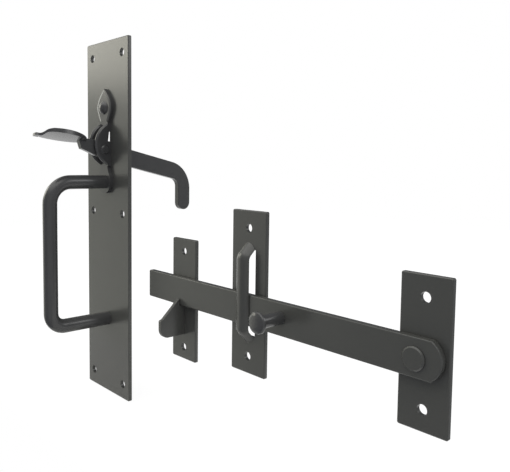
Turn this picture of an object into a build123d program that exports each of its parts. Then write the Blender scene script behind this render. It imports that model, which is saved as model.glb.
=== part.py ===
from build123d import *
import os
from math import asin, cos, radians, sin, tan

os.makedirs("parts", exist_ok=True)

# Suffolk gate latch: the thumb-lever handle and the latch bar with its staple and catch,
# set out side by side on one plane as a boxed set is shown.
# Millimetres. X runs along the gate, Y goes into the gate, Z is up.
# The origin is the middle of the handle plate's back. All plate backs lie on Y = 0.

# Fits
run_clear = 0.05          # radial clearance of a part that turns on its rivet or pin
set_clear = 0.02          # radial clearance of a rivet or tenon that is hammered tight
face_clear = 0.10         # side play of a turning part between its neighbours
edge_break = 0.5          # bevel of the front edges of the pressed plates
cut_past = 1.0            # how far a cut runs past the faces it opens

# Handle plate
handle_plate_w = 65.4
handle_plate_h = 292.0
handle_plate_t = 3.0
handle_plate_corner = 1.5
handle_screw_d = 6.6
handle_screw_in_x = 9.3   # screw holes in from the plate's sides
handle_screw_in_z = 12.0  # screw holes in from the plate's ends
handle_mid_screw_z = 6.0

# Pull handle, a bent round bar with a turned tenon at each end
grip_d = 11.2
grip_stand = 50.5         # plate front to the grip's centre line
grip_top_z = 31.3
grip_bottom_z = -83.4
grip_top_bend_r = 17.0
grip_bottom_bend_r = 11.5
tenon_d = 8.0

# Cusp: leaf, cheeks for the lever, and foot under the handle's top arm
cusp_t = 3.0
leaf_tip_z = 107.0
leaf_wide_z = 91.5
leaf_neck_z = 79.0
leaf_w = 22.0
leaf_neck_w = 11.0
leaf_bevel_w = 2.0        # across the leaf's face
leaf_bevel_h = 0.45       # down the leaf's side
cheek_r = 18.4
cheek_in = 1.6            # cheeks' centre behind the plate's back
cheek_z = 61.9
cheek_t = 3.2
cheek_edge = 1.3
relief_d = 2.7            # notch at the root of each cheek, out from the plate's front
relief_top_d = 1.7
relief_drop = 1.0         # notch's lower end below the highest place the blade reaches
stem_w = 9.5
foot_r = 10.0
foot_rise = 0.4           # handle's tenon up to the foot's centre
stem_flare_w = 17.0
cusp_rivet_d = 6.0
cusp_rivet_head_d = 11.0
cusp_rivet_head_h = 3.6
cusp_rivet_steps = 6

# Thumb lever: flat blade on edge, dished thumb pad in front, hooked tail behind
lever_t = 6.0
lever_play = 0.2          # side play between the cheeks
lever_bevel = 0.6
lever_tilt = 13.0         # the pad end stands higher by this angle at rest
pin_d = 5.0
pin_head_d = 7.6
pin_head_h = 1.2
pin_head_bevel = 0.8
pin_stand = 5.3           # plate front to the pin
pin_z = 57.5
blade_up = 6.4            # pin to the blade's top edge
blade_down = 7.8          # pin to the blade's bottom edge
tail_back = 81.0          # plate back to the tail's far edge
tail_w = 12.8
tail_end_z = 5.0
tail_outer_r = 25.0
tail_inner_r = 7.0
neck_start = 8.0          # along the lever from the pin, where the top edge starts to fall
neck_end = 16.0
belly_end = -3.0          # along the lever from the pin, where the bottom edge starts to rise
belly_r = 5.0
throat_at = 12.0
neck_up = 5.2
neck_down = 4.8
pad_mid = 37.5            # along the lever from the pin to the middle of the pad's underside
pad_up = 0.5              # across the lever from the pin to the middle of the pad's underside
pad_tilt = 8.0            # the pad's tip stands higher by this angle at rest
pad_lean = 8.0            # the pad's right side stands higher by this angle
pad_len = 44.0
pad_w = 29.0
pad_t = 1.9
pad_dish_r = 60.0         # underside curve across the pad
rib_start = 18.5          # along the lever from the pin, rib under the pad
rib_end = 22.0
rib_down = 3.8            # pin line to the rib's start
rib_in = 0.1              # rib's end into the pad
rib_top = 1.5             # the blade's top end into the pad
lever_travel = 20.0       # turn from rest to fully pressed
slot_clear = 0.35
slot_rise = 7.0           # slot above the blade's highest place, to pass the hooked tail through
plate_slot_w = 9.0

# Latch bar group: places along X and Z of the three plates
plate_t = 2.5
plate_corner = 1.0
screw_d = 5.5
pivot_x = 289.2
pivot_z = -42.5
staple_dx = -118.2
staple_dz = 10.3
catch_dx = -184.2
catch_dz = -5.9

# Pivot plate, rivet and spacer
pivot_plate_w = 27.0
pivot_plate_h = 76.0
pivot_plate_dx = 2.8      # rivet to the plate's centre
pivot_plate_dz = 2.0
pivot_screw_in = 10.9     # screw holes in from the plate's ends
pivot_rivet_d = 8.0
pivot_head_d = 12.0
pivot_head_h = 1.2
pivot_head_bevel = 0.7
spacer_d = 18.0
spacer_t = 0.4

# Latch bar and its knob
bar_h = 19.7
bar_t = 3.6
bar_rise = 0.5            # pivot up to the bar's middle line
bar_left = 221.6          # pivot to the free end
bar_right = 14.2          # pivot to the rounded end
bar_end_r = 11.5
bar_corner = 1.2
bar_edge = 0.7
knob_dx = -86.9
knob_dz = 1.5
knob_stem_d = 7.8
knob_head_d = 12.8
knob_rim = 1.0            # straight side of the head
knob_neck_h = 1.6         # slope under the head
knob_crown_h = 2.0        # rim to the end of the knob
knob_crown_steps = 4
knob_len = 20.5
knob_tenon_d = 5.0

# Staple: a plate with a strap pressed out of it
staple_plate_w = 30.2
staple_plate_h = 102.6
staple_screw_in = 10.9    # screw holes in from the plate's ends
strap_w = 11.0
strap_t = 3.0             # flat back to rounded crown
loop_stand = 4.6          # plate front to the strap's flat back
loop_front_h = 45.6
loop_root_h = 59.0
loop_bend_r = 4.5
loop_slot_w = 12.6
loop_root_in = 0.2        # strap's ends above the plate's back

# Catch: a plate with a sloped hook
catch_plate_w = 26.4
catch_plate_h = 85.8
catch_screw_in = 8.65     # screw holes in from the plate's ends
hook_t = 2.6
hook_reach = 20.7         # plate front to the nose
hook_lip_h = 4.3          # lip above the notch floor
hook_lip_w = 0.5
hook_depth = 21.2         # notch floor to the hook's underside
hook_nose_r = 6.5
hook_lip_clear = 0.7      # lip to the bar's front
hook_rest = 0.1           # bar's underside to the notch floor
hook_brow = 8.3           # notch floor to the foot of the slope
hook_ledge = 1.8          # foot of the slope to the nose
hook_brow_r = 1.2
hook_tab_in = 4.0         # tab's ends in from the hook's top and underside

cheek_gap = lever_t + 2 * lever_play
pin_out = handle_plate_t + pin_stand
bar_back = plate_t + spacer_t + face_clear
bar_front = bar_back + bar_t
bar_z = pivot_z + bar_rise
pivot_plate_x = pivot_x + pivot_plate_dx
pivot_plate_z = pivot_z + pivot_plate_dz
staple_x = pivot_x + staple_dx
staple_z = pivot_z + staple_dz
catch_x = pivot_x + catch_dx
catch_z = pivot_z + catch_dz
notch_floor = bar_z - bar_h / 2 - hook_rest
hook_tab_h = hook_depth - 2 * hook_tab_in


def side(x):
    """Plane across the gate at X = x: first axis out of the gate from the plate backs, second axis up."""
    return Plane(origin=(x, 0, 0), x_dir=(0, -1, 0), z_dir=(-1, 0, 0))


def front(out=0.0):
    """Plane parallel to the plates, a given distance out from their backs: X across, Z up."""
    return Plane.XZ.offset(out)


def slab(sketch, start, thickness):
    """Front-on outline made solid from one distance out of the gate to another."""
    return extrude(front(start) * sketch, amount=thickness)


def rod(x, z, start, end, diameter):
    """Round bar along Y between two distances out of the gate."""
    return slab(Pos(x, z) * Circle(diameter / 2), start, end - start)


def turned(points, x, z):
    """Solid of revolution about the line along Y at (x, z); points are (radius, distance out)."""
    plane = Plane(origin=(x, 0, z), x_dir=(1, 0, 0), z_dir=(0, 0, 1))
    outline = Polyline(*[(r, -out) for r, out in points], close=True)
    return revolve(plane * make_face(outline), axis=Axis((x, 0, z), (0, 1, 0)))


def crown(radius, start, height, steps):
    """Points of a rounded end, a quarter oval in straight steps, as (radius, distance out)."""
    turns = [radians(90 * i / steps) for i in range(steps + 1)]
    return [(radius * cos(a), start + height * sin(a)) for a in turns[:-1]] + [(0, start + height)]


def dome(radius, start, height, steps):
    """Points of a domed end, an arc in straight steps, as (radius, distance out)."""
    sphere_r = (radius**2 + height**2) / (2 * height)
    centre = start + height - sphere_r
    turns = [asin(radius / sphere_r) * (1 - i / steps) for i in range(steps)]
    return [(sphere_r * sin(a), centre + sphere_r * cos(a)) for a in turns] + [(0, start + height)]


def plate_blank(x, z, width, height, thickness, corner):
    """Pressed plate with rounded corners and bevelled front edges."""
    blank = slab(Pos(x, z) * RectangleRounded(width, height, corner), 0, thickness)
    rim = blank.faces().sort_by(Axis.Y)[0].edges()
    return chamfer(rim, edge_break)


def screw_holes(x, z, height, inset, diameter, thickness):
    """Two screw holes, one above the other, in from the ends of a plate of a given height."""
    reach = height / 2 - inset
    return [rod(x, z + s * reach, -cut_past, thickness + cut_past, diameter) for s in (-1, 1)]


def lever_point(along, up, tilt=lever_tilt):
    """Point of the lever as (distance out of the gate, height), from its place along and across the lever."""
    out = pin_out + along * cos(radians(tilt)) - up * sin(radians(tilt))
    return out, pin_z + along * sin(radians(tilt)) + up * cos(radians(tilt))


def lever_edge(up, out, tilt=lever_tilt):
    """Point where a line along the lever, a given height across it, is a given distance out of the gate."""
    along = (out - pin_out + up * sin(radians(tilt))) / cos(radians(tilt))
    return lever_point(along, up, tilt)


def slot_limits():
    """Lowest and highest height the blade reaches inside the handle plate and the cusp's base."""
    heights = []
    for tilt in (lever_tilt, lever_tilt - lever_travel):
        for out in (0.0, handle_plate_t + cusp_t):
            heights.append(lever_edge(-blade_down, out, tilt)[1])
            heights.append(lever_edge(blade_up, out, tilt)[1])
    return min(heights) - slot_clear, max(heights) + slot_clear


slot_low, slot_high = slot_limits()


def lever_slot(start, thickness, width):
    """Slot the lever's blade passes through."""
    top = slot_high + slot_rise
    return slab(Pos(0, (slot_low + top) / 2) * Rectangle(width, top - slot_low), start, thickness)


def make_handle_plate():
    plate = plate_blank(0, 0, handle_plate_w, handle_plate_h, handle_plate_t, handle_plate_corner)
    reach = handle_plate_w / 2 - handle_screw_in_x
    for x in (-reach, reach):
        for hole in screw_holes(x, 0, handle_plate_h, handle_screw_in_z, handle_screw_d, handle_plate_t):
            plate -= hole
        plate -= rod(x, handle_mid_screw_z, -cut_past, handle_plate_t + cut_past, handle_screw_d)
    for z in (grip_top_z, grip_bottom_z):
        plate -= rod(0, z, -cut_past, handle_plate_t + cut_past, tenon_d + 2 * set_clear)
    plate -= rod(0, leaf_wide_z, -cut_past, handle_plate_t + cut_past, cusp_rivet_d + 2 * set_clear)
    return plate - lever_slot(-cut_past, handle_plate_t + 2 * cut_past, plate_slot_w)


def make_pull_handle():
    out = handle_plate_t + grip_stand
    top_seat = handle_plate_t + cusp_t
    top_in = out - grip_top_bend_r
    low_in = out - grip_bottom_bend_r
    top_arm = Line((top_seat, grip_top_z), (top_in, grip_top_z))
    top_bend = RadiusArc((top_in, grip_top_z), (out, grip_top_z - grip_top_bend_r), grip_top_bend_r)
    low_out = (out, grip_bottom_z + grip_bottom_bend_r)
    grip = Line((out, grip_top_z - grip_top_bend_r), low_out)
    low_bend = RadiusArc(low_out, (low_in, grip_bottom_z), grip_bottom_bend_r)
    low_arm = Line((low_in, grip_bottom_z), (handle_plate_t, grip_bottom_z))
    path = side(0) * Wire([top_arm.edge(), top_bend.edge(), grip.edge(), low_bend.edge(), low_arm.edge()])
    start = Plane(origin=path @ 0, z_dir=path % 0)
    bar = sweep(start * Circle(grip_d / 2), path=path)
    bar += rod(0, grip_top_z, 0, top_seat, tenon_d)
    return bar + rod(0, grip_bottom_z, 0, handle_plate_t, tenon_d)


def leaf_outline():
    """Pointed leaf above the cheeks, widest at its rivet."""
    tip = (0, leaf_tip_z)
    wide = (leaf_w / 2, leaf_wide_z)
    neck = (leaf_neck_w / 2, leaf_neck_z)
    right = Spline(tip, wide, neck, tangents=[(0.9, -0.75), (-0.35, -1)], tangent_scalars=(1, 1))
    left = mirror(right, about=Plane.YZ)
    base = Line(neck, (-neck[0], neck[1]))
    return make_face([right, left, base])


def make_thumb_cusp():
    width = cheek_gap + 2 * cheek_t
    seat = handle_plate_t
    boss_half = (cheek_r**2 - (seat + cheek_in)**2)**0.5
    boss_top = cheek_z + boss_half
    boss_low = cheek_z - boss_half
    leaf = slab(leaf_outline(), seat, cusp_t)
    leaf_face = leaf.faces().sort_by(Axis.Y)[0]
    leaf_rim = leaf_face.edges().filter_by(GeomType.LINE, reverse=True)
    body = chamfer(leaf_rim, leaf_bevel_w, leaf_bevel_h, reference=leaf_face)
    neck_h = abs(boss_top - leaf_neck_z) + 2 * cut_past
    body += slab(Pos(0, (boss_top + leaf_neck_z) / 2) * Rectangle(leaf_neck_w, neck_h), seat, cusp_t)
    body += slab(Pos(0, cheek_z) * Rectangle(width, boss_top - boss_low), seat, cusp_t)
    foot_z = grip_top_z + foot_rise
    stem_top = boss_low + cut_past
    flare_z = foot_z + foot_r / 3
    stem = Polyline((-stem_w / 2, stem_top), (stem_w / 2, stem_top), (stem_flare_w / 2, flare_z),
                    (-stem_flare_w / 2, flare_z), close=True)
    body += slab(make_face(stem), seat, cusp_t)
    body += slab(Pos(0, foot_z) * Circle(foot_r), seat, cusp_t)
    ahead = Pos(seat + cheek_r, cheek_z) * Rectangle(2 * cheek_r, 3 * cheek_r)
    half_disc = Pos(-cheek_in, cheek_z) * Circle(cheek_r) & ahead
    for s in (-1, 1):
        middle = s * (cheek_gap + cheek_t) / 2
        cheek = extrude(side(middle) * half_disc, amount=cheek_t / 2, both=True)
        body += chamfer(cheek.edges().filter_by(GeomType.CIRCLE), cheek_edge)
    body -= lever_slot(seat - cut_past, cusp_t + cut_past, cheek_gap)
    body -= Pos(0, -(seat + cusp_t + cheek_r), cheek_z) * Box(cheek_gap, 2 * cheek_r, 3 * cheek_r)
    notch_low = slot_high - relief_drop
    notch_top = slot_high + slot_rise
    notch = Polyline((0, notch_low), (seat + relief_d, notch_low), (seat + relief_top_d, notch_top),
                     (0, notch_top), close=True)
    body -= extrude(side(0) * make_face(notch), amount=width, both=True)
    face = seat + cusp_t + cut_past
    body -= rod(0, leaf_wide_z, seat - cut_past, face, cusp_rivet_d + 2 * set_clear)
    body -= rod(0, grip_top_z, seat - cut_past, face, tenon_d + 2 * set_clear)
    return body - Pos(0, -pin_out, pin_z) * Rot(0, 90, 0) * Cylinder(pin_d / 2 + set_clear, 2 * width)


def make_cusp_rivet():
    face = handle_plate_t + cusp_t
    shank = [(0, 0), (cusp_rivet_d / 2, 0), (cusp_rivet_d / 2, face)]
    head = dome(cusp_rivet_head_d / 2, face, cusp_rivet_head_h, cusp_rivet_steps)
    return turned(shank + head, 0, leaf_wide_z)


def make_thumb_pad():
    """Spoon-shaped pad: a dished strip trimmed to an oval outline, leaning a little to one side."""
    out, z = lever_point(pad_mid, pad_up)
    middle = Vector(0, -out, z)
    ahead = Vector(0, -cos(radians(pad_tilt)), sin(radians(pad_tilt)))
    level = Vector(1, 0, 0)
    across = level * cos(radians(pad_lean)) + ahead.cross(level) * sin(radians(pad_lean))
    ring = Pos(0, pad_dish_r) * (Circle(pad_dish_r) - Circle(pad_dish_r - pad_t))
    lower = ring & Rectangle(2 * pad_w, pad_dish_r)
    strip = extrude(Plane(origin=middle, x_dir=across, z_dir=ahead) * lower, amount=pad_len, both=True)
    oval = Plane(origin=middle, x_dir=across, z_dir=across.cross(ahead)) * Ellipse(pad_w / 2, pad_len / 2)
    return strip & extrude(oval, amount=pad_dish_r, both=True)


def rounded(outline, point, radius):
    """Outline with the corner nearest a point rounded."""
    corner = outline.vertices().sort_by_distance(Vector(point[0], point[1], 0))[0]
    return fillet(corner, radius)


def make_thumb_lever():
    far = -tail_back
    near = far + tail_w
    outer = lever_edge(blade_up, far)
    inner = lever_edge(-blade_down, near)
    belly = lever_point(belly_end, -blade_down)
    throat = lever_point(throat_at, -neck_down)
    rib = lever_point(rib_start, -rib_down)
    under = pad_up + (pad_mid - rib_end) * tan(radians(lever_tilt - pad_tilt))
    outline = make_face(Polyline(
        lever_point(rib_end, under + rib_top), lever_point(neck_end, neck_up),
        lever_point(neck_start, blade_up), outer, (far, tail_end_z), (near, tail_end_z), inner, belly, throat,
        rib, lever_point(rib_end, under + rib_in), close=True))
    outline = rounded(outline, outer, tail_outer_r)
    outline = rounded(outline, inner, tail_inner_r)
    outline = rounded(outline, (far, tail_end_z), 0.49 * tail_w)
    outline = rounded(outline, (near, tail_end_z), 0.49 * tail_w)
    outline = rounded(outline, belly, belly_r)
    blade = extrude(side(0) * outline, amount=lever_t / 2, both=True)
    blade = chamfer(blade.edges().filter_by(Axis.X, reverse=True), lever_bevel)
    lever = blade + make_thumb_pad()
    return lever - Pos(0, -pin_out, pin_z) * Rot(0, 90, 0) * Cylinder(pin_d / 2 + run_clear, 4 * lever_t)


def make_lever_pin():
    half = cheek_gap / 2 + cheek_t
    pin = Pos(0, -pin_out, pin_z) * Rot(0, 90, 0) * Cylinder(pin_d / 2, 2 * half)
    head = Cone(pin_head_d / 2, pin_head_d / 2 - pin_head_bevel, pin_head_h)
    for s in (-1, 1):
        pin += Pos(s * (half + pin_head_h / 2), -pin_out, pin_z) * Rot(0, s * 90, 0) * head
    return pin


def make_pivot_plate():
    x, z = pivot_plate_x, pivot_plate_z
    plate = plate_blank(x, z, pivot_plate_w, pivot_plate_h, plate_t, plate_corner)
    for hole in screw_holes(x, z, pivot_plate_h, pivot_screw_in, screw_d, plate_t):
        plate -= hole
    return plate - rod(pivot_x, pivot_z, -cut_past, plate_t + cut_past, pivot_rivet_d + 2 * set_clear)


def make_pivot_washer():
    ring = Pos(pivot_x, pivot_z) * (Circle(spacer_d / 2) - Circle(pivot_rivet_d / 2 + set_clear))
    return slab(ring, plate_t, spacer_t)


def make_pivot_rivet():
    seat = bar_front + face_clear
    end = seat + pivot_head_h
    shank_r = pivot_rivet_d / 2
    head_r = pivot_head_d / 2
    profile = [(0, 0), (shank_r, 0), (shank_r, seat), (head_r, seat), (head_r, end - pivot_head_bevel),
               (head_r - pivot_head_bevel, end), (0, end)]
    return turned(profile, pivot_x, pivot_z)


def make_latch_bar():
    left = pivot_x - bar_left
    right = pivot_x + bar_right
    strip = Pos((left + right) / 2, bar_z) * Rectangle(right - left, bar_h)
    end = Pos(right - bar_end_r, bar_z) * Circle(bar_end_r)
    body = Pos((left + pivot_x) / 2, bar_z) * Rectangle(pivot_x - left, bar_h)
    outline = body + (strip & end)
    for s in (-1, 1):
        outline = rounded(outline, (left, bar_z + s * bar_h / 2), bar_corner)
    bar = slab(outline, bar_back, bar_t)
    bar = fillet(bar.faces().sort_by(Axis.Y)[0].edges(), bar_edge)
    end_face = bar_front + cut_past
    bar -= rod(pivot_x, pivot_z, 0, end_face, pivot_rivet_d + 2 * run_clear)
    return bar - rod(pivot_x + knob_dx, pivot_z + knob_dz, 0, end_face, knob_tenon_d + 2 * set_clear)


def make_bar_knob():
    rim = bar_front + knob_len - knob_crown_h
    head = rim - knob_rim
    profile = [(0, bar_back), (knob_tenon_d / 2, bar_back), (knob_tenon_d / 2, bar_front),
               (knob_stem_d / 2, bar_front), (knob_stem_d / 2, head - knob_neck_h), (knob_head_d / 2, head)]
    profile += crown(knob_head_d / 2, rim, knob_crown_h, knob_crown_steps)
    return turned(profile, pivot_x + knob_dx, pivot_z + knob_dz)


def make_staple_plate():
    plate = plate_blank(staple_x, staple_z, staple_plate_w, staple_plate_h, plate_t, plate_corner)
    for hole in screw_holes(staple_x, staple_z, staple_plate_h, staple_screw_in, screw_d, plate_t):
        plate -= hole
    back = plate_t + loop_stand
    root = loop_root_h / 2
    shoulder = loop_front_h / 2
    line = [(loop_root_in, root), (back, shoulder), (back, -shoulder), (loop_root_in, -root)]
    path = side(staple_x) * Pos(0, staple_z) * FilletPolyline(*line, radius=loop_bend_r)
    half = strap_w / 2
    ridge = ThreePointArc((half, 0), (0, strap_t), (-half, 0))
    section = make_face([ridge, Line((-half, 0), (half, 0))])
    start = Plane(origin=path @ 0, x_dir=(1, 0, 0), z_dir=path % 0)
    strap = sweep(start * section, path=path)
    rise = (back - loop_root_in) / (root - shoulder)
    inside = root - (plate_t - loop_root_in) / rise
    window = Pos(staple_x, staple_z) * Rectangle(loop_slot_w, 2 * inside)
    return plate - slab(window, -cut_past, plate_t + 2 * cut_past) + strap


def make_catch_plate():
    plate = plate_blank(catch_x, catch_z, catch_plate_w, catch_plate_h, plate_t, plate_corner)
    for hole in screw_holes(catch_x, catch_z, catch_plate_h, catch_screw_in, screw_d, plate_t):
        plate -= hole
    slot = Rectangle(hook_t + 2 * set_clear, hook_tab_h + 2 * set_clear)
    slot = Pos(catch_x, notch_floor - hook_depth / 2) * slot
    return plate - slab(slot, -cut_past, plate_t + 2 * cut_past)


def make_catch_hook():
    under = notch_floor - hook_depth
    lip_in = bar_front + hook_lip_clear
    lip_top = notch_floor + hook_lip_h
    nose = plate_t + hook_reach
    brow = notch_floor - hook_brow
    outline = make_face(Polyline(
        (plate_t, under), (nose, under), (nose, brow), (nose - hook_ledge, brow),
        (lip_in + hook_lip_w, lip_top), (lip_in, lip_top), (lip_in, notch_floor), (plate_t, notch_floor),
        close=True))
    outline = rounded(outline, (nose, under), hook_nose_r)
    outline = rounded(outline, (nose, brow), hook_brow_r)
    tab = Pos(plate_t / 2, notch_floor - hook_depth / 2) * Rectangle(plate_t, hook_tab_h)
    return extrude(side(catch_x) * (outline + tab), amount=hook_t / 2, both=True)


parts = {
    "handle_plate": make_handle_plate,
    "pull_handle": make_pull_handle,
    "thumb_cusp": make_thumb_cusp,
    "cusp_rivet": make_cusp_rivet,
    "thumb_lever": make_thumb_lever,
    "lever_pin": make_lever_pin,
    "pivot_plate": make_pivot_plate,
    "pivot_washer": make_pivot_washer,
    "pivot_rivet": make_pivot_rivet,
    "latch_bar": make_latch_bar,
    "bar_knob": make_bar_knob,
    "staple_plate": make_staple_plate,
    "catch_plate": make_catch_plate,
    "catch_hook": make_catch_hook,
}

for node, make in parts.items():
    shape = make()
    solids = shape.solids()
    export_step(solids[0] if len(solids) == 1 else shape, f"parts/{node}.step")
    print(node, len(solids), round(shape.volume, 1), shape.bounding_box())
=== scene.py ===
from math import cos, radians, sin, sqrt
import bpy
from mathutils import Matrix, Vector


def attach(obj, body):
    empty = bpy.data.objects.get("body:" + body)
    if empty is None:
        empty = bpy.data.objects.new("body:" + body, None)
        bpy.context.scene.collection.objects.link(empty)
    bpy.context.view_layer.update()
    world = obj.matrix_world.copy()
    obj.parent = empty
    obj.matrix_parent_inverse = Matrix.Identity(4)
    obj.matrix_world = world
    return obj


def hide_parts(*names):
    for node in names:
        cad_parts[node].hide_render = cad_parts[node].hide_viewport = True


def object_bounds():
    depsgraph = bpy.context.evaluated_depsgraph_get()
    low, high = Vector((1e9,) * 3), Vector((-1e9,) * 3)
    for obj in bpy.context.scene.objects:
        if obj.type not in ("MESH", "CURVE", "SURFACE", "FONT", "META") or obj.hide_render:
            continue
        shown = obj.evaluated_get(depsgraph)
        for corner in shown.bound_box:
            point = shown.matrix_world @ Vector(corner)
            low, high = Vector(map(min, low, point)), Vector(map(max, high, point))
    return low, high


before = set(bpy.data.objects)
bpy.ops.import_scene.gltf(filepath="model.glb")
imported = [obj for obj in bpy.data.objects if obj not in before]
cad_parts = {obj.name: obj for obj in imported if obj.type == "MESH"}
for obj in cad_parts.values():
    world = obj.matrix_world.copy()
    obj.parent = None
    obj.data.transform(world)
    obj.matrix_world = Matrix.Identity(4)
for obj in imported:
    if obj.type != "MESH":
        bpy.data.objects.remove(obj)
cad_low, cad_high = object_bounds()

# Finishes, as linear colours and plain numbers
SATIN_BLACK = (0.065, 0.066, 0.062)
SATIN_BLACK_WORN = (0.074, 0.074, 0.069)
GLOSS_BLACK = (0.058, 0.058, 0.059)
GLOSS_BLACK_WORN = (0.066, 0.066, 0.066)
SATIN_ROUGHNESS = 0.26
GLOSS_ROUGHNESS = 0.23
ROUGHNESS_SPREAD = 0.012
COAT_IOR = 1.5
SPECKLE_SPAN = (0.3, 0.7)
RIPPLE_STRENGTH = 0.006
RIPPLE_DEPTH = 0.00005

# Noise in the coat: name, scale and detail
COAT_PATTERNS = (("Drift", 28.0, 3.0), ("Speckle", 900.0, 2.0), ("Ripple", 1400.0, 1.0))

SATIN_NODES = ("handle_plate", "pivot_plate", "pivot_washer", "pivot_rivet", "latch_bar",
               "staple_plate", "catch_plate", "catch_hook")
GLOSS_NODES = ("pull_handle", "thumb_cusp", "cusp_rivet", "thumb_lever", "lever_pin", "bar_knob")

# Thumb pad in metres, with its place, slopes and sizes as they are on the CAD lever
PAD_MIDDLE = Vector((0.0, -0.0447265, 0.0664229))
PAD_TILT = radians(8)
PAD_LEAN = radians(8)
PAD_AHEAD = Vector((0.0, -cos(PAD_TILT), sin(PAD_TILT)))
PAD_ACROSS = Vector((cos(PAD_LEAN), sin(PAD_LEAN) * sin(PAD_TILT), sin(PAD_LEAN) * cos(PAD_TILT)))
PAD_UP = PAD_AHEAD.cross(PAD_ACROSS)
PAD_HALF_LENGTH = 0.022
PAD_HALF_WIDTH = 0.0145
PAD_THICKNESS = 0.0019
PAD_DISH_RADIUS = 0.060

# Shape given to the pad: a flatter underside, and a tongue at its tip, by distances ahead of its middle
PAD_FLATTEN = 0.8
TONGUE_HALF_WIDTH = 0.0032
TONGUE_DROP = 0.0022
TONGUE_BACK = 0.0010
OGEE_START = 0.0105
OGEE_END = 0.0195
OGEE_CUT = 0.0005
TURN_START = 0.0132
TURN_END = 0.0180
MERGE_DISTANCE = 1e-6
SMOOTH_ANGLE = radians(30)

# Camera, fitted to the photograph
CAMERA_PLACE = (0.438894, -0.255790, 0.049572)
CAMERA_TURN = (1.4967, -0.0100, 0.8556)
CAMERA_LENS = 42.353
CAMERA_SENSOR = 36.0
CAMERA_SHIFT = (0.059901, -0.060493)
CAMERA_NEAR = 0.01

# Room: directions, linear colours, and spans over which one part of it fades into the next
STUDIO_LEFT = (-0.966, -0.259, 0.0)
STUDIO_LEFT_SPAN = (0.70, 0.93)
STUDIO_LEFT_FOOT = (-0.80, -0.25)
STUDIO_BRIGHT = (0.91, 0.92, 0.83)
STUDIO_BESIDE = (-0.985, 0.105, 0.137)
STUDIO_BESIDE_SPAN = (0.90, 0.98)
STUDIO_EDGE = (2.6, 2.6, 2.4)
STUDIO_FRONT = (0.24, 0.25, 0.28)
STUDIO_RIGHT = (0.47, 0.48, 0.50)
STUDIO_RIGHT_SPAN = (0.0, 0.6)
STUDIO_CEILING = (1.95, 1.95, 1.90)
STUDIO_CEILING_SPAN = (0.45, 0.85)
STUDIO_CEILING_BACK = (-0.15, 0.25)
STUDIO_BACK_LIGHT = 0.45
STUDIO_BACK_SPAN = (-0.25, 0.35)
STUDIO_BACK_RIGHT_LOSS = 0.4
STUDIO_BACK_RIGHT_SPAN = (0.0, 0.5)

# Floor in metres, and how much of its own shade it shows to the camera and in gloss near the object
FLOOR_COLOUR = (0.86, 0.86, 0.84)
FLOOR_ROUGHNESS = 0.8
FLOOR_SIZE = 1.6
FLOOR_AHEAD = 0.08
FLOOR_LEFT = 0.585
FLOOR_GAP = 0.0005
FLOOR_SPAN = (0.05, 0.38)
FLOOR_SHADE = 0.12
FLOOR_DULL = 0.85
FLOOR_WHITE = 1.07

# Lamps in metres and watts
LAMP_AIM = Vector((0.0, 0.0, 0.10))
KEY_PLACE = (-1.00, -0.62, 0.52)
KEY_SIZE = 0.55
KEY_POWER = 3.4
KEY_COLOUR = (1.0, 0.97, 0.85)
FILL_PLACE = (0.78, 0.49, 0.45)
FILL_SIZE = 0.40
FILL_POWER = 1.3
FILL_COLOUR = (1.0, 1.0, 1.0)


def link(tree, source, output, target, socket):
    """Joins an output of one node to a socket of another."""
    tree.links.new(source.outputs[output], target.inputs[socket])


def ramp(tree, source, output, span, start=0.0, end=1.0, kind="SMOOTHSTEP"):
    """Value that goes from start to end while another one crosses a span."""
    step = tree.nodes.new("ShaderNodeMapRange")
    step.interpolation_type = kind
    step.inputs["From Min"].default_value = span[0]
    step.inputs["From Max"].default_value = span[1]
    step.inputs["To Min"].default_value = start
    step.inputs["To Max"].default_value = end
    link(tree, source, output, step, "Value")
    return step


def combine(tree, operation, first, first_output, second, second_output):
    """Value worked out from two others."""
    result = tree.nodes.new("ShaderNodeMath")
    result.operation = operation
    link(tree, first, first_output, result, 0)
    link(tree, second, second_output, result, 1)
    return result


def blend(tree, first, second, share, output):
    """Colour that goes from one colour or node to another as the share rises."""
    mix = tree.nodes.new("ShaderNodeMix")
    mix.data_type = "RGBA"
    for socket, colour in (("A", first), ("B", second)):
        if isinstance(colour, tuple):
            mix.inputs[socket].default_value = (*colour, 1)
        else:
            link(tree, colour, "Result", mix, socket)
    link(tree, share, output, mix, "Factor")
    return mix


def show(tree, plain, white, share, target):
    """Puts out a plain shader that gives way to a white one as the share rises."""
    mix = tree.nodes.new("ShaderNodeMixShader")
    link(tree, share, "Value", mix, "Fac")
    link(tree, plain, 0, mix, 1)
    link(tree, white, 0, mix, 2)
    link(tree, mix, "Shader", tree.nodes[target], "Surface")


def make_coat_group():
    """Baked coat on steel: slow drift in tone, fine speckle and the faint ripple that it dries with."""
    group = bpy.data.node_groups.new("baked_coat", "ShaderNodeTree")
    start = group.nodes.new("NodeGroupInput")
    end = group.nodes.new("NodeGroupOutput")
    place = group.nodes.new("ShaderNodeTexCoord")
    for name, scale, detail in COAT_PATTERNS:
        size = group.interface.new_socket(f"{name} Scale", in_out="INPUT", socket_type="NodeSocketFloat")
        size.default_value = scale
        group.interface.new_socket(name, in_out="OUTPUT", socket_type="NodeSocketFloat")
        noise = group.nodes.new("ShaderNodeTexNoise")
        noise.inputs["Detail"].default_value = detail
        link(group, place, "Object", noise, "Vector")
        link(group, start, f"{name} Scale", noise, "Scale")
        link(group, noise, "Fac", end, name)
    return group


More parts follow.
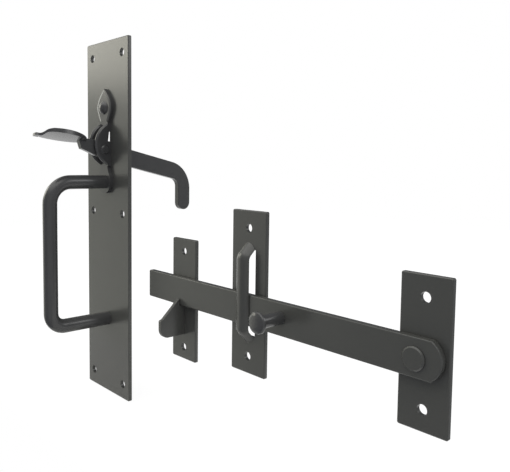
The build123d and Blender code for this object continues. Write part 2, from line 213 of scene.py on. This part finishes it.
def make_coat(name, colour, worn, roughness, group):
    """Black coat: the group's drift moves its colour, the speckle its gloss and the ripple its surface."""
    material = bpy.data.materials.new(name)
    material.use_nodes = True
    tree = material.node_tree
    shader = tree.nodes["Principled BSDF"]
    shader.inputs["IOR"].default_value = COAT_IOR
    coat = tree.nodes.new("ShaderNodeGroup")
    coat.node_tree = group
    tone = blend(tree, colour, worn, coat, "Drift")
    link(tree, tone, "Result", shader, "Base Color")
    smooth = roughness - ROUGHNESS_SPREAD
    rough = roughness + ROUGHNESS_SPREAD
    gloss = ramp(tree, coat, "Speckle", SPECKLE_SPAN, smooth, rough, "LINEAR")
    link(tree, gloss, "Result", shader, "Roughness")
    bump = tree.nodes.new("ShaderNodeBump")
    bump.inputs["Strength"].default_value = RIPPLE_STRENGTH
    bump.inputs["Distance"].default_value = RIPPLE_DEPTH
    link(tree, coat, "Ripple", bump, "Height")
    link(tree, bump, "Normal", shader, "Normal")
    return material


def paint(names, material):
    """Gives CAD nodes their finish."""
    for name in names:
        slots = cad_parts[name].data.materials
        slots.clear()
        slots.append(material)


def smooth_step(value, start, end):
    """Smooth rise from 0 at start to 1 at end."""
    share = min(max((value - start) / (end - start), 0.0), 1.0)
    return share * share * (3 - 2 * share)


def tip_share(along):
    """How much of the oval's width is left at a distance ahead of the pad's middle."""
    oval = PAD_HALF_WIDTH * sqrt(max(1 - (along / PAD_HALF_LENGTH) ** 2, 0.0))
    if oval <= TONGUE_HALF_WIDTH:
        return 1.0
    return 1 - smooth_step(along, OGEE_START, OGEE_END) * (1 - TONGUE_HALF_WIDTH / oval)


def shape_pad(vertices):
    """Draws the pad's tip in to a tongue, sets the tongue down and back, and flattens the underside."""
    for vertex in vertices:
        offset = vertex.co - PAD_MIDDLE
        along = offset.dot(PAD_AHEAD)
        if along < -PAD_HALF_LENGTH:
            continue
        across = offset.dot(PAD_ACROSS)
        dish = across * across / (2 * PAD_DISH_RADIUS)
        under = min(max(1 - (offset.dot(PAD_UP) - dish) / PAD_THICKNESS, 0.0), 1.0)
        slim = across * tip_share(along)
        slim_dish = slim * slim / (2 * PAD_DISH_RADIUS)
        turn = smooth_step(along, TURN_START, TURN_END)
        drop = dish - slim_dish + under * PAD_FLATTEN * slim_dish + TONGUE_DROP * turn
        vertex.co -= PAD_AHEAD * (TONGUE_BACK * turn)
        vertex.co += PAD_ACROSS * (slim - across) - PAD_UP * drop


def make_thumb_lever(material):
    """Thumb lever with its shaped pad, from a merged copy of the CAD lever, cut finely at the tip."""
    lever = bpy.data.objects.new("thumb_lever_shaped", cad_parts["thumb_lever"].data.copy())
    bpy.context.scene.collection.objects.link(lever)
    bpy.ops.object.select_all(action="DESELECT")
    lever.select_set(True)
    bpy.context.view_layer.objects.active = lever
    bpy.ops.mesh.customdata_custom_splitnormals_clear()
    bpy.ops.object.mode_set(mode="EDIT")
    bpy.ops.mesh.select_all(action="SELECT")
    bpy.ops.mesh.remove_doubles(threshold=MERGE_DISTANCE)
    along = OGEE_START - OGEE_CUT
    while along < PAD_HALF_LENGTH - OGEE_CUT:
        bpy.ops.mesh.select_all(action="SELECT")
        bpy.ops.mesh.bisect(plane_co=PAD_MIDDLE + PAD_AHEAD * along, plane_no=PAD_AHEAD)
        along += OGEE_CUT
    bpy.ops.object.mode_set(mode="OBJECT")
    shape_pad(lever.data.vertices)
    bpy.ops.object.shade_smooth_by_angle(angle=SMOOTH_ANGLE)
    lever.data.materials.clear()
    lever.data.materials.append(material)
    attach(lever, "lever")
    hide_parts("thumb_lever")


def make_floor():
    """Pale floor, white to the camera but for a trace of the object's shadow close by."""
    bpy.ops.object.select_all(action="DESELECT")
    middle = (cad_low + cad_high) / 2
    place = (middle.x - FLOOR_LEFT, FLOOR_SIZE / 2 - FLOOR_AHEAD, cad_low.z - FLOOR_GAP)
    bpy.ops.mesh.primitive_plane_add(size=FLOOR_SIZE, location=place)
    floor = bpy.context.object
    floor.name = "floor"
    material = bpy.data.materials.new("pale_floor")
    material.use_nodes = True
    tree = material.node_tree
    shader = tree.nodes["Principled BSDF"]
    shader.inputs["Base Color"].default_value = (*FLOOR_COLOUR, 1)
    shader.inputs["Roughness"].default_value = FLOOR_ROUGHNESS
    white = tree.nodes.new("ShaderNodeEmission")
    white.inputs["Strength"].default_value = FLOOR_WHITE
    ray = tree.nodes.new("ShaderNodeLightPath")
    spot = tree.nodes.new("ShaderNodeTexCoord")
    reach = tree.nodes.new("ShaderNodeVectorMath")
    reach.operation = "DISTANCE"
    under_handle = (-place[0], -place[1], 0.0)
    reach.inputs[1].default_value = under_handle
    link(tree, spot, "Object", reach, 0)
    clear = ramp(tree, reach, "Value", FLOOR_SPAN, 1.0 - FLOOR_SHADE)
    dull = ramp(tree, reach, "Value", FLOOR_SPAN, 1.0 - FLOOR_DULL)
    seen = combine(tree, "MULTIPLY", ray, "Is Camera Ray", clear, "Result")
    mirrored = combine(tree, "MULTIPLY", ray, "Is Glossy Ray", dull, "Result")
    share = combine(tree, "MAXIMUM", seen, "Value", mirrored, "Value")
    show(tree, shader, white, share, "Material Output")
    floor.data.materials.append(material)


def facing(tree, place, direction):
    """How far a direction of the room agrees with a given one."""
    agree = tree.nodes.new("ShaderNodeVectorMath")
    agree.operation = "DOT_PRODUCT"
    agree.inputs[1].default_value = direction
    link(tree, place, "Generated", agree, 0)
    return agree


def make_world():
    """White to the camera. To the object, bright on the left and above, middling right and dim ahead."""
    world = bpy.data.worlds.new("studio")
    bpy.context.scene.world = world
    world.use_nodes = True
    tree = world.node_tree
    light = tree.nodes["Background"]
    place = tree.nodes.new("ShaderNodeTexCoord")
    towards = facing(tree, place, STUDIO_LEFT)
    beside = facing(tree, place, STUDIO_BESIDE)
    split = tree.nodes.new("ShaderNodeSeparateXYZ")
    link(tree, place, "Generated", split, "Vector")
    side = ramp(tree, towards, "Value", STUDIO_LEFT_SPAN)
    level = ramp(tree, split, "Z", STUDIO_LEFT_FOOT)
    left = combine(tree, "MULTIPLY", side, "Result", level, "Result")
    right = ramp(tree, split, "X", STUDIO_RIGHT_SPAN)
    above = ramp(tree, split, "Z", STUDIO_CEILING_SPAN)
    ahead = ramp(tree, split, "Y", STUDIO_CEILING_BACK, 1.0, 0.0)
    ceiling = combine(tree, "MULTIPLY", above, "Result", ahead, "Result")
    edge = ramp(tree, beside, "Value", STUDIO_BESIDE_SPAN)
    room = blend(tree, STUDIO_FRONT, STUDIO_RIGHT, right, "Result")
    room = blend(tree, room, STUDIO_BRIGHT, left, "Value")
    room = blend(tree, room, STUDIO_CEILING, ceiling, "Value")
    room = blend(tree, room, STUDIO_EDGE, edge, "Result")
    link(tree, room, "Result", light, "Color")
    behind = ramp(tree, split, "Y", STUDIO_BACK_SPAN, 0.0, 1.0 - STUDIO_BACK_LIGHT)
    across = ramp(tree, split, "X", STUDIO_BACK_RIGHT_SPAN, 1.0, STUDIO_BACK_RIGHT_LOSS)
    loss = combine(tree, "MULTIPLY", behind, "Result", across, "Result")
    kept = tree.nodes.new("ShaderNodeMath")
    kept.operation = "SUBTRACT"
    kept.inputs[0].default_value = 1.0
    link(tree, loss, "Value", kept, 1)
    link(tree, kept, "Value", light, "Strength")
    white = tree.nodes.new("ShaderNodeBackground")
    white.inputs["Color"].default_value = (1, 1, 1, 1)
    ray = tree.nodes.new("ShaderNodeLightPath")
    seen = combine(tree, "MAXIMUM", ray, "Is Camera Ray", ray, "Is Transmission Ray")
    show(tree, light, white, seen, "World Output")


def make_lamp(name, place, size, power, colour):
    """Soft square lamp at a place, turned to the handle plate."""
    lamp = bpy.data.lights.new(name, "AREA")
    lamp.shape = "SQUARE"
    lamp.size = size
    lamp.energy = power
    lamp.color = colour
    holder = bpy.data.objects.new(name, lamp)
    bpy.context.scene.collection.objects.link(holder)
    holder.location = place
    away = holder.location - LAMP_AIM
    holder.rotation_euler = away.to_track_quat("Z", "Y").to_euler()


def make_camera():
    """Camera that sees the object as the photograph does."""
    lens = bpy.data.cameras.new("camera")
    lens.sensor_width = CAMERA_SENSOR
    lens.lens = CAMERA_LENS
    lens.shift_x, lens.shift_y = CAMERA_SHIFT
    lens.clip_start = CAMERA_NEAR
    camera = bpy.data.objects.new("camera", lens)
    bpy.context.scene.collection.objects.link(camera)
    camera.location = CAMERA_PLACE
    camera.rotation_euler = CAMERA_TURN
    bpy.context.scene.camera = camera


coat = make_coat_group()
paint(SATIN_NODES, make_coat("satin_black", SATIN_BLACK, SATIN_BLACK_WORN, SATIN_ROUGHNESS, coat))
gloss = make_coat("gloss_black", GLOSS_BLACK, GLOSS_BLACK_WORN, GLOSS_ROUGHNESS, coat)
paint(GLOSS_NODES, gloss)
make_thumb_lever(gloss)
make_floor()
make_world()
make_lamp("key", KEY_PLACE, KEY_SIZE, KEY_POWER, KEY_COLOUR)
make_lamp("fill", FILL_PLACE, FILL_SIZE, FILL_POWER, FILL_COLOUR)
make_camera()
bpy.context.scene.view_settings.view_transform = "Standard"
